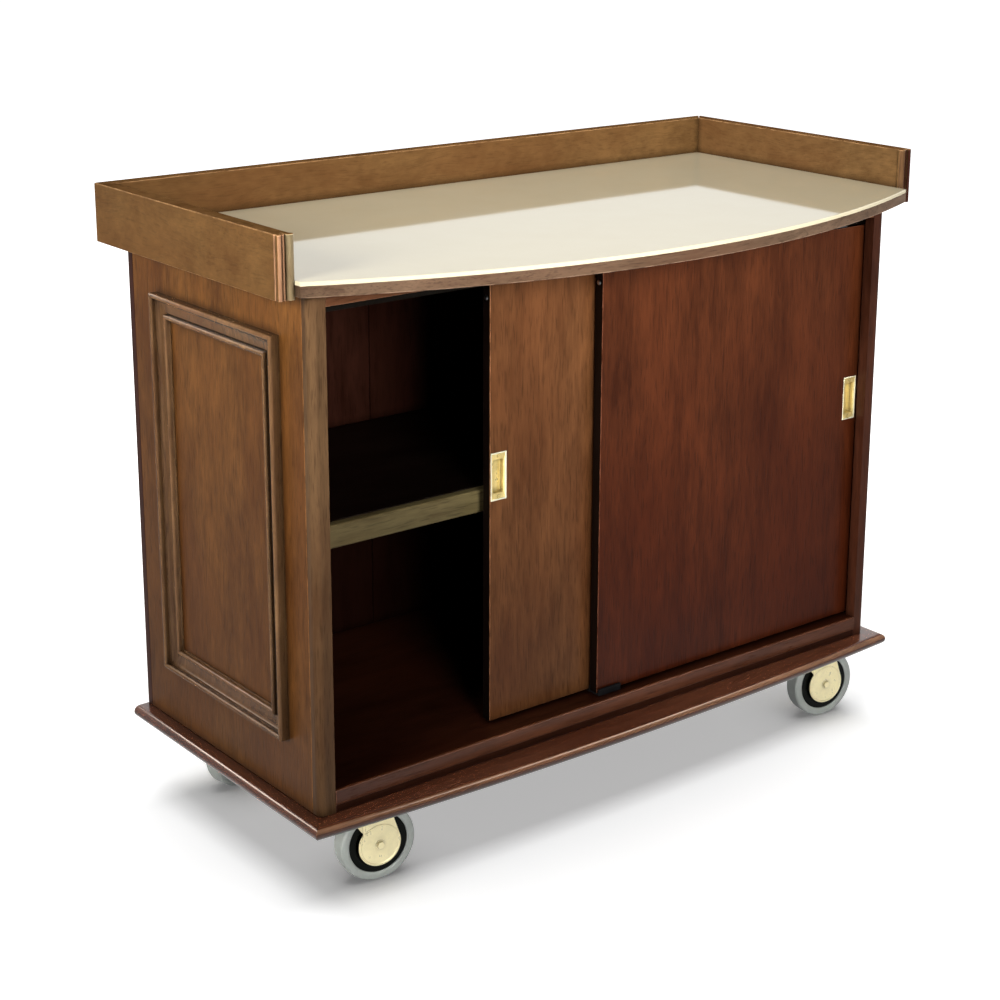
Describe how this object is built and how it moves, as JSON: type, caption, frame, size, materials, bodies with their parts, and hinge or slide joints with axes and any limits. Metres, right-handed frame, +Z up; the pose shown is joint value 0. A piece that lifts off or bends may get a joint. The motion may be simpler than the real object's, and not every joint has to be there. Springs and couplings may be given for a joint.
{
  "type": "housekeeping cart",
  "caption": "Bow-front wooden service cabinet cart with a railed cream worktop, two bypass sliding doors over a shelf, and swivel casters.",
  "frame": {"origin": "on the floor, under the centre of the bounding box", "axes": "+Z up, the front with the sliding doors faces -Y, +X to the right seen from the front"},
  "size_m": [1.32, 0.704, 1.067],
  "materials": {
    "rail_wood": "satin lacquered walnut",
    "cream_top": "high gloss solid surface",
    "side_veneer": "satin lacquered veneer",
    "moulding_wood": "satin lacquered walnut",
    "stile_wood": "satin lacquered walnut",
    "header_wood": "satin lacquered walnut",
    "door_left_veneer": "satin lacquered veneer",
    "door_right_veneer": "satin lacquered veneer",
    "shelf_edge_wood": "satin lacquered lipping",
    "floor_wood": "satin lacquered veneer",
    "base_wood": "satin lacquered walnut",
    "inside_wood": "dark lacquered veneer",
    "brass": "polished",
    "caster_brass": "bright plated",
    "plated_steel": "zinc plated",
    "bronze_track": "dark bronze",
    "black_nylon": "moulded",
    "roller_nylon": "moulded",
    "wheel_core": "moulded",
    "grey_tyre": "non-marking grey rubber"
  },
  "bodies": {
    "cabinet": {"worktop_board": "rail_wood", "worktop_surface": "cream_top", "rail_right": "rail_wood", "rail_left": "rail_wood", "rail_back": "rail_wood", "side_panel_right": "side_veneer", "side_panel_left": "side_veneer", "stile_right": "stile_wood", "stile_left": "stile_wood", "header_rail": "header_wood", "floor_panel": "floor_wood", "back_panel": "inside_wood", "sub_top": "inside_wood", "shelf": "inside_wood", "shelf_edge": "shelf_edge_wood", "shelf_cleat_left": "inside_wood", "shelf_cleat_right": "inside_wood", "base_front": "base_wood", "base_right": "base_wood", "base_left": "base_wood", "base_back": "base_wood", "side_moulding_right": "moulding_wood", "side_moulding_left": "moulding_wood", "door_track": "bronze_track", "door_guide": "black_nylon", "caster_plate_front_left": "plated_steel", "caster_plate_front_right": "plated_steel", "caster_plate_back_left": "plated_steel", "caster_plate_back_right": "plated_steel"},
    "door_left": {"door_left": "door_left_veneer", "pull_left": "brass", "bumper_left": "plated_steel", "hanger_left_a": "plated_steel", "hanger_left_b": "plated_steel"},
    "door_right": {"door_right": "door_right_veneer", "pull_right": "brass", "bumper_right": "plated_steel", "hanger_right_a": "plated_steel", "hanger_right_b": "plated_steel"},
    "rollers_left_a": {"rollers_left_a": "roller_nylon"},
    "rollers_left_b": {"rollers_left_b": "roller_nylon"},
    "rollers_right_a": {"rollers_right_a": "roller_nylon"},
    "rollers_right_b": {"rollers_right_b": "roller_nylon"},
    "fork_front_left": {"caster_fork_front_left": "caster_brass", "caster_axle_front_left": "plated_steel"},
    "wheel_front_left": {"wheel_core_front_left": "wheel_core", "tyre_front_left": "grey_tyre"},
    "fork_front_right": {"caster_fork_front_right": "caster_brass", "caster_axle_front_right": "plated_steel"},
    "wheel_front_right": {"wheel_core_front_right": "wheel_core", "tyre_front_right": "grey_tyre"},
    "fork_back_left": {"caster_fork_back_left": "caster_brass", "caster_axle_back_left": "plated_steel"},
    "wheel_back_left": {"wheel_core_back_left": "wheel_core", "tyre_back_left": "grey_tyre"},
    "fork_back_right": {"caster_fork_back_right": "caster_brass", "caster_axle_back_right": "plated_steel"},
    "wheel_back_right": {"wheel_core_back_right": "wheel_core", "tyre_back_right": "grey_tyre"}
  },
  "joints": [
    {"name": "door_left_slide", "type": "slide", "parent": "cabinet", "child": "door_left", "axis": [1, 0, 0], "range_m": [-0.3366, 0.2114]},
    {"name": "rollers_left_a_spin", "type": "hinge", "parent": "door_left", "child": "rollers_left_a", "pos_m": [-0.1849, -0.133, 0.9471], "axis": [0, 1, 0], "continuous": true},
    {"name": "rollers_left_b_spin", "type": "hinge", "parent": "door_left", "child": "rollers_left_b", "pos_m": [0.3106, -0.133, 0.9471], "axis": [0, 1, 0], "continuous": true},
    {"name": "door_right_slide", "type": "slide", "parent": "cabinet", "child": "door_right", "axis": [1, 0, 0], "range_m": [-0.548, 0]},
    {"name": "rollers_right_a_spin", "type": "hinge", "parent": "door_right", "child": "rollers_right_a", "pos_m": [0.0265, -0.156, 0.9471], "axis": [0, 1, 0], "continuous": true},
    {"name": "rollers_right_b_spin", "type": "hinge", "parent": "door_right", "child": "rollers_right_b", "pos_m": [0.522, -0.156, 0.9471], "axis": [0, 1, 0], "continuous": true},
    {"name": "swivel_front_left", "type": "hinge", "parent": "cabinet", "child": "fork_front_left", "pos_m": [-0.508, -0.143, 0.15], "axis": [0, 0, 1], "continuous": true},
    {"name": "wheel_spin_front_left", "type": "hinge", "parent": "fork_front_left", "child": "wheel_front_left", "pos_m": [-0.48038, -0.14762, 0.0645], "axis": [0.165, 0.9863, 0], "continuous": true},
    {"name": "swivel_front_right", "type": "hinge", "parent": "cabinet", "child": "fork_front_right", "pos_m": [0.508, -0.143, 0.15], "axis": [0, 0, 1], "continuous": true},
    {"name": "wheel_spin_front_right", "type": "hinge", "parent": "fork_front_right", "child": "wheel_front_right", "pos_m": [0.53562, -0.14762, 0.0645], "axis": [0.165, 0.9863, 0], "continuous": true},
    {"name": "swivel_back_left", "type": "hinge", "parent": "cabinet", "child": "fork_back_left", "pos_m": [-0.508, 0.265, 0.15], "axis": [0, 0, 1], "continuous": true},
    {"name": "wheel_spin_back_left", "type": "hinge", "parent": "fork_back_left", "child": "wheel_back_left", "pos_m": [-0.48083, 0.27177, 0.0645], "axis": [-0.2419, 0.9703, 0], "continuous": true},
    {"name": "swivel_back_right", "type": "hinge", "parent": "cabinet", "child": "fork_back_right", "pos_m": [0.508, 0.265, 0.15], "axis": [0, 0, 1], "continuous": true},
    {"name": "wheel_spin_back_right", "type": "hinge", "parent": "fork_back_right", "child": "wheel_back_right", "pos_m": [0.53593, 0.26305, 0.0645], "axis": [0.0698, 0.9976, 0], "continuous": true}
  ],
  "couplings": [
    {"joint": "rollers_left_a_spin", "follows": "door_left_slide", "rad_per_m": 161.29},
    {"joint": "rollers_left_b_spin", "follows": "door_left_slide", "rad_per_m": 161.29},
    {"joint": "rollers_right_a_spin", "follows": "door_right_slide", "rad_per_m": 161.29},
    {"joint": "rollers_right_b_spin", "follows": "door_right_slide", "rad_per_m": 161.29}
  ]
}
